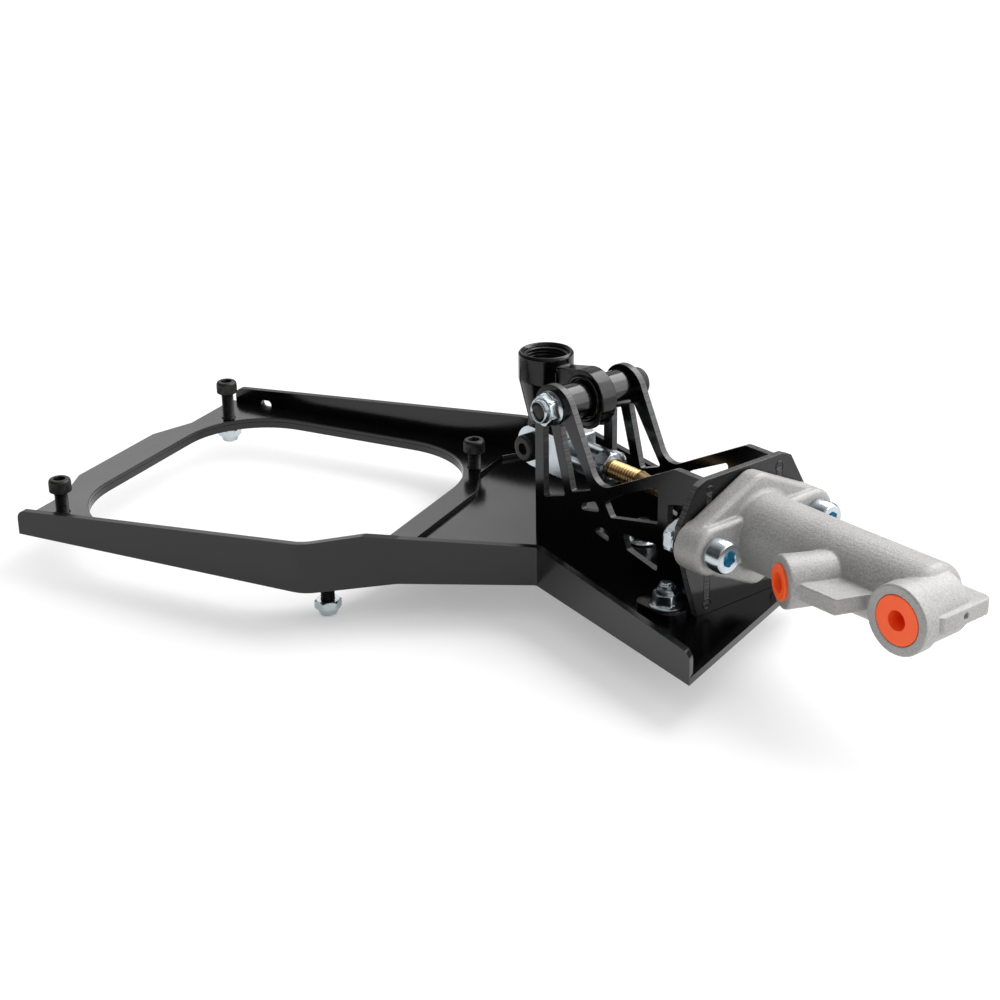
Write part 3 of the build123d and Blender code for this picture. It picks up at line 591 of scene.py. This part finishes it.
steel = plain_metal("plain_steel", *STEEL_TINTS)
dress(["pivot_sleeve"], steel)
dress(["hub_bush"], plain_metal("bush_bronze", *BRONZE_TINTS))

# Lever hub: a socket with a cone below it, threaded for the lever's tube and welded to a thick arm
# with a ring round the pivot. It is painted gloss black over the welds, which soften every inner
# corner, and a seal ring stands out on each side of its bore.
HUB_SKIN = 0.35e-3
PIVOT_X = -90.5
PIVOT_Z = 61.8
SEAL_RADIUS = 9.3
SEAL_HALF_WIDTH = 0.95
SEAL_HALF_HEIGHT = 0.75
SEAL_SIDE = 4.3
SOCKET_X = -118.8
SOCKET_TOP = 75.2
SOCKET_BORE = 9.5
SOCKET_THREAD_LOW = -14.5
SOCKET_THREAD_HIGH = -1.6
LEVER_PITCH = 1.5
RIPPLE_STEPS = 3
RIPPLE_DEPTH = 0.16
BEAD_END = 0.5
BEAD_END_STEPS = 4
HUB_FACES = (("near", -1), ("far", 1))
ARM_WELD_SIDE = 4.0
ARM_WELD = ((-107.4, 1, 52.0), (-107.4, 1, 61.0), (-107.4, 1, 69.0), (-107.0, 0.55, 69.9))
RING_WELD_SIDE = 3.6
RING_WELD_RADIUS = 12.6
RING_WELD_TURNS = np.linspace(-2.2, -0.7, 8)


def melted(name, node, fineness, rounds, material, body):
    """A copy of a CAD node as one skin, its corners run together as cast or welded metal is."""
    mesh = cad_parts[node].data.copy()
    shape = bmesh.new()
    shape.from_mesh(mesh)
    bmesh.ops.remove_doubles(shape, verts=shape.verts, dist=SAME_PLACE)
    shape.to_mesh(mesh)
    shape.free()
    if "custom_normal" in mesh.attributes:
        mesh.attributes.remove(mesh.attributes["custom_normal"])
    mesh.materials.clear()
    mesh.materials.append(material)
    piece = settle(name, mesh, body, [node])
    skin = piece.modifiers.new("one_skin", "REMESH")
    skin.mode = "VOXEL"
    skin.voxel_size = fineness
    skin.use_smooth_shade = True
    soft = piece.modifiers.new("run_corners", "SMOOTH")
    soft.factor = 0.5
    soft.iterations = rounds


def weld_bead(name, path, radius, ripple):
    """A bead laid along points, with the ripples that the torch leaves."""
    steps = []
    for start, end in zip(path, path[1:]):
        count = max(2, round((end - start).length / ripple * RIPPLE_STEPS))
        steps += [start.lerp(end, step / count) for step in range(count)]
    steps.append(path[-1])
    line = bpy.data.curves.new(name, "CURVE")
    line.dimensions = "3D"
    line.bevel_depth = 1.0
    line.bevel_resolution = 3
    line.use_fill_caps = True
    spline = line.splines.new("POLY")
    spline.points.add(len(steps) - 1)
    for index, (point, step) in enumerate(zip(spline.points, steps)):
        point.co = (*step, 1)
        from_end = min(index, len(steps) - 1 - index)
        end = min(1, BEAD_END + from_end / BEAD_END_STEPS)
        swell = 1 - RIPPLE_DEPTH * abs(math.cos(index * math.pi / RIPPLE_STEPS))
        point.radius = end * radius * swell
    holder = stand(name, line)
    mesh = bpy.data.meshes.new_from_object(holder)
    bpy.data.objects.remove(holder)
    mesh.shade_smooth()
    mesh.materials.append(hub_black)
    settle(name, mesh, "lever")


hub_black = gloss_black("hub_black", roughness=0.12, lump=0.07e-3, index=1.42)
melted("lever_hub_welded", "lever_hub", HUB_SKIN, 2, hub_black, "lever")

seal = turned("hub_seal_ring", oval_rows(SEAL_RADIUS, SEAL_HALF_WIDTH, SEAL_HALF_HEIGHT, 12), True)
seal_placings = [facing(SIDEWAYS, on_tower(PIVOT_X, y, PIVOT_Z)) for y in (-SEAL_SIDE, SEAL_SIDE)]
fit("hub_seal_rings", seal, seal_placings, [hub_black], "lever")

socket_rows = [(SOCKET_THREAD_HIGH, SOCKET_BORE + 0.3), (SOCKET_THREAD_LOW, SOCKET_BORE + 0.3)]
socket_rows += thread(SOCKET_THREAD_LOW, SOCKET_THREAD_HIGH, SOCKET_BORE + 0.1, LEVER_PITCH)
fit("lever_socket_thread", turned("lever_socket_thread", socket_rows, True),
    [facing(UP, on_tower(SOCKET_X, 0, SOCKET_TOP))], [black_oxide], "lever")

for side_name, side in HUB_FACES:
    arm_path = [on_tower(x, share * side * ARM_WELD_SIDE, z) for x, share, z in ARM_WELD]
    weld_bead("arm_weld_" + side_name, arm_path, radius=1.0e-3, ripple=1.3e-3)
for side_name, side in HUB_FACES:
    ring_path = [on_tower(PIVOT_X + RING_WELD_RADIUS * math.cos(turn), side * RING_WELD_SIDE,
                          PIVOT_Z + RING_WELD_RADIUS * math.sin(turn)) for turn in RING_WELD_TURNS]
    weld_bead("ring_weld_" + side_name, ring_path, radius=0.8e-3, ripple=1.2e-3)

# Clevis: a fork milled from steel and plated bright zinc. Its pin is a black socket head screw
# with a low head, held by a plain nut behind; another plain nut locks it on the push rod.
FRONTWARD = (TOWER, 0, 1)
CLEVIS_ROUNDING = 0.35e-3
PIN = {**M8, "head": 12, "rise": 5, "socket": 5}
PIN_LENGTH = 30.5
PIN_THREADED = 8


def plain_nut(size, across_flats, height):
    """Rows of a plain nut, its corners turned off at both faces."""
    flats = hexagon(across_flats)
    bore = size / 2 + NUT_PLAY
    turned_off = np.minimum(flats, NUT_CORNER * across_flats)
    half = [(0, bore + 0.5), (0, 0.485 * across_flats), (0.3, turned_off), (1.0, flats)]
    upper = [(height - rise, radius) for rise, radius in half[::-1]]
    return [(0.5, bore)] + half + upper + [(height - 0.5, bore), (height - 0.6, bore)]


dress(["clevis"], zinc, CLEVIS_ROUNDING)
pin_screw = cap_screw(PIN_LENGTH, PIN_THREADED, **PIN)
black_screws("clevis_pin_screw", pin_screw, "clevis_pin", NEARWARD, "link")
pin_nut = plain_nut(size=8, across_flats=13, height=6.5)
place_nuts("pin_nut", pin_nut, "clevis_pin_nut", FARWARD, "link")
rod_nut = plain_nut(size=8, across_flats=14, height=6.6)
place_nuts("rod_lock_nut", rod_nut, "lock_nut", FRONTWARD, "link", spin=12)

# Push rod: steel plated yellow zinc, threaded behind for the clevis and its lock nut, plain
# towards the ball that pushes the piston.
ROD_RADIUS = 4.0
ROD_TIP = 3.0
ROD_THREADED = 45.0
ROD_PITCH = 1.6
NECK_TAPER = 3.2
NECK_RADIUS = 3.5
BALL_RADIUS = 4.0
BALL_TURNS = np.linspace(math.pi - math.asin(NECK_RADIUS / BALL_RADIUS), 0.06, 14)

yellow_zinc = clouded(
    "yellow_zinc", grain=300, detail=3, dark=(176, 142, 94), light=(222, 192, 144),
    roughness=0.2, spread=0.16, lump=0.02e-3, Metallic=1.0)
rod_low, rod_high = solids("push_rod", TOWER)[0]
rod_end = (rod_low[0] - rod_high[0]) / MM
thread_end = rod_end + ROD_THREADED
rod_thread = thread(rod_end + TIP_LENGTH, thread_end, ROD_RADIUS, ROD_PITCH)
rod_rows = [(rod_end, ROD_TIP)] + rod_thread
rod_rows += [(thread_end + 0.2, ROD_RADIUS), (thread_end + NECK_TAPER, NECK_RADIUS)]
for turn in BALL_TURNS:
    rod_rows.append((BALL_RADIUS * math.cos(turn) - BALL_RADIUS, BALL_RADIUS * math.sin(turn)))
fit("threaded_push_rod", turned("threaded_push_rod", rod_rows), ends("push_rod", FRONTWARD),
    [yellow_zinc], "link", ["push_rod"])

# Boot: moulded rubber, held on the cylinder's spigot by its thick band, with soft folds that close
# on the rod.
CYLINDER_Z = 33.4
BOOT_ROOT = -3.3
BOOT_TIP = -27.0
BOOT_WALL = 1.5
BOOT_BORE = 3.8
BAND_BORE = 12.1
BAND = [(BOOT_ROOT, 12.6), (BOOT_ROOT, 13.5), (-5.0, 13.5), (-5.8, 13.0), (-6.6, 13.0), (-7.4, 13.4)]
BAND_END = -8.0
FOLDS = 4
FOLD_STEPS = 49
FOLDS_FROM = -11.0
FOLD_DEPTH = 0.75
FOLD_RADIUS = 13.4
FOLD_TAPER = 7.6
FOLD_SWEEP = 1.4

rubber = clouded(
    "rubber", grain=700, detail=3, dark=(34, 34, 35), light=(52, 52, 53),
    roughness=0.42, spread=0.2, lump=0.03e-3, IOR=1.5)
folds = []
for step in np.linspace(0, 1, FOLD_STEPS):
    height = FOLDS_FROM + step * (BOOT_TIP - FOLDS_FROM)
    cone = FOLD_RADIUS - FOLD_TAPER * step ** FOLD_SWEEP
    folds.append((height, cone - FOLD_DEPTH + FOLD_DEPTH * math.cos(step * FOLDS * math.tau)))
inner = [(height, max(radius - BOOT_WALL, BOOT_BORE)) for height, radius in folds[::-1]]
inner += [(BAND_END, BAND_BORE), (BOOT_ROOT, BAND_BORE)]
boot_rows = BAND + folds + [(BOOT_TIP, BOOT_BORE)] + inner
fit("folded_boot", turned("folded_boot", boot_rows[::-1], True),
    [facing(FORWARD, on_tower(0, 0, CYLINDER_Z))], [rubber], "frame", ["rubber_boot"])

# Master cylinder: sand-cast aluminium, shot blasted to an even grey, every corner as round as the
# mould left it.
CAST_DARK = (136, 135, 133)
CAST_LIGHT = (190, 189, 187)
CAST_SKIN = 0.4e-3
CAST_GRAIN = 1300
CAST_PITS = 430
CAST_CLOUD = 60
CAST_HEIGHT = 0.2e-3


def cast_aluminium():
    cast = Finish("cast_aluminium", Metallic=0.4)
    grain = cast.noise(CAST_GRAIN, detail=3)
    pits = cast.noise(CAST_PITS, detail=2)
    cloud = cast.noise(CAST_CLOUD, detail=3)
    return cast.paint(
        Base_Color=cast.mix(0.4 * cloud + 1.2 * grain - 0.3, tint(*CAST_DARK), tint(*CAST_LIGHT)),
        Roughness=0.46 + 0.2 * grain,
        Normal=cast.bump(0.6 * grain + 0.4 * pits, CAST_HEIGHT))


melted("cast_cylinder", "cylinder_body", CAST_SKIN, 1, cast_aluminium(), "frame")

# Two zinc screws of the cylinder's flange, with smooth heads, and their flange nuts behind the
# front plate.
REARWARD = (TOWER, 0, -1)
FLANGE_SCREW_LENGTH = 32.4
FLANGE_SCREW_THREADED = 22

flange_screw = cap_screw(FLANGE_SCREW_LENGTH, FLANGE_SCREW_THREADED, **M8, rough=0)
zinc_screws("cylinder_screws", flange_screw, "cylinder_bolts", FRONTWARD)
flange_screw_nut = flange_nut(size=8, across_flats=13, flange=14.4, height=8)
place_nuts("cylinder_flange_nuts", flange_screw_nut, "cylinder_nuts", REARWARD, "frame", spin=5)

# Plugs pushed into the two ports to keep dirt out, moulded in bright orange plastic with their
# edges just broken.
PLUG_ROUNDING = 0.25e-3

orange_plastic = clouded(
    "orange_plastic", grain=180, detail=2, dark=(255, 86, 30), light=(255, 104, 46),
    roughness=0.36, spread=0.12, IOR=1.46)
dress(["outlet_cap", "inlet_cap"], orange_plastic, PLUG_ROUNDING)

# Inside the cylinder: a turned aluminium piston with its two rubber seals, the coiled steel spring
# that sends it back, and the steel ring that keeps it in.
PISTON_TINTS = ((165, 166, 166), (205, 206, 206))

dress(["return_spring", "retaining_ring"], steel)
dress(["primary_seal", "secondary_seal"], rubber)
dress(["piston"], plain_metal("piston_metal", *PISTON_TINTS))

# Stage: white floor, white surroundings and two soft lamps; the camera stands where the
# photograph's did. The floor takes the object's shadow close by and glows white farther off.
WHITE = (1, 1, 1, 1)
CAMERA_PLACE = (0.4714, -0.7011, 0.3530)
CAMERA_AZIMUTH = math.radians(26.93)
CAMERA_ELEVATION = math.radians(22.96)
CAMERA_ROLL = math.radians(-0.9)
CAMERA_LENS = 72
CAMERA_SENSOR = 36
CAMERA_REACH = (0.02, 50)
FLOOR_DROP = 15.5e-3
FLOOR_REACH = 12
FLOOR_WHITE = (0.93, 0.93, 0.93, 1)
FLOOR_ROUGHNESS = 0.6
FLOOR_GLOW = 1.0
FLOOR_GLOW_SEEN = 0.12
SHADE_MIDDLE = (0.12, -0.06, 0)
SHADE_SPAN = (0.06, 0.34)
GLOW_SHARES = (0.3, 0.95)
GLOW_MIRRORED = 0.8
DIM_SIDE = (-0.55, -0.8, 0.25)
DIM_SPAN = (0.1, 0.75)
DIM_LEVELS = (0.72, 0.08)
WINDOW_SIDE = (-0.6, 0.72, 0.35)
WINDOW_SPAN = (0.96, 1.0)
WINDOW_LEVELS = (0, 1.1)
HORIZON_SPAN = (0.3, 0.37)
HORIZON_LEVELS = (0.3, 1.0)
SOFT_LIGHT = 0.64
LAMPS_AIM = Vector((0.12, 0.0, 0.03))
LAMPS = (("right_lamp", (1.16, 0.34, 0.5), 0.95, 2.6), ("above_lamp", (0.45, 0.73, 1.05), 0.95, 5.2))


def ramp(mixer, value, span, levels, shape="LINEAR"):
    """A number that goes from one level to the other while a value crosses a span."""
    return mixer.node("MapRange", {"interpolation_type": shape}, {
        "Value": value, "From Min": span[0], "From Max": span[1],
        "To Min": levels[0], "To Max": levels[1]})


camera = stand("camera", bpy.data.cameras.new("camera"))
camera.data.lens = CAMERA_LENS
camera.data.sensor_width = CAMERA_SENSOR
camera.data.clip_start, camera.data.clip_end = CAMERA_REACH
level = math.cos(CAMERA_ELEVATION)
ahead = Vector((-math.sin(CAMERA_AZIMUTH) * level, math.cos(CAMERA_AZIMUTH) * level,
                -math.sin(CAMERA_ELEVATION)))
level_right = ahead.cross(UP).normalized()
level_up = level_right.cross(ahead)
right = level_right * math.cos(CAMERA_ROLL) + level_up * math.sin(CAMERA_ROLL)
camera_turn = Matrix((right, right.cross(ahead), -ahead)).transposed()
camera.matrix_world = Matrix.Translation(CAMERA_PLACE) @ camera_turn.to_4x4()
bpy.context.scene.camera = camera

floor_mesh = bpy.data.meshes.new("floor")
corners = [(FLOOR_REACH * x, FLOOR_REACH * y, 0) for x, y in ((-1, -1), (1, -1), (1, 1), (-1, 1))]
floor_mesh.from_pydata(corners, [], [(0, 1, 2, 3)])
floor = stand("floor", floor_mesh)
floor.location.z = -FLOOR_DROP

pale = Finish("pale_floor", Base_Color=FLOOR_WHITE, Roughness=FLOOR_ROUGHNESS)
seen = pale.node("LightPath", {}, {}, "Is Camera Ray")
mirrored = pale.node("LightPath", {}, {}, "Is Glossy Ray")
distance = pale.measure("DISTANCE", pale.place, SHADE_MIDDLE)
share = ramp(pale, distance, SHADE_SPAN, GLOW_SHARES, "SMOOTHSTEP")
strength = FLOOR_GLOW + FLOOR_GLOW_SEEN * seen
glow = pale.node("Emission", {}, {"Color": WHITE, "Strength": strength})
lit = Value(pale, pale.shader.outputs[0])
glowing = share * (seen + GLOW_MIRRORED * mirrored)
surface = pale.node("MixShader", {}, {0: glowing, 1: lit, 2: glow})
pale.fill(pale.tree.nodes["Material Output"], {"Surface": surface})
floor_mesh.materials.append(pale.material)

world = bpy.data.worlds.new("studio")
bpy.context.scene.world = world
world.use_nodes = True
air = Mixer(world.node_tree)
seen = air.node("LightPath", {}, {}, "Is Camera Ray")
mirrored = air.node("LightPath", {}, {}, "Is Glossy Ray")
way = air.node("TexCoord", {}, {}, "Generated")
room = ramp(air, air.along(way, DIM_SIDE), DIM_SPAN, DIM_LEVELS)
window = ramp(air, air.along(way, WINDOW_SIDE), WINDOW_SPAN, WINDOW_LEVELS)
above = ramp(air, air.along(way, UP), HORIZON_SPAN, HORIZON_LEVELS)
backdrop = air.node("Background", {}, {"Color": WHITE, "Strength": 1.0})
soft_light = air.node("Background", {}, {"Color": WHITE, "Strength": SOFT_LIGHT})
reflected = air.node("Background", {}, {"Color": WHITE, "Strength": (room + window) * above})
lit_or_mirrored = air.node("MixShader", {}, {0: mirrored, 1: soft_light, 2: reflected})
chosen = air.node("MixShader", {}, {0: seen, 1: lit_or_mirrored, 2: backdrop})
air.fill(world.node_tree.nodes["World Output"], {"Surface": chosen})

for name, place, size, radiance in LAMPS:
    lamp = stand(name, bpy.data.lights.new(name, "AREA"))
    lamp.data.size = size
    lamp.data.energy = radiance * math.pi * size ** 2
    lamp.location = place
    lamp.rotation_euler = (LAMPS_AIM - Vector(place)).to_track_quat("-Z", "Y").to_euler()

bpy.context.scene.view_settings.view_transform = "Standard"
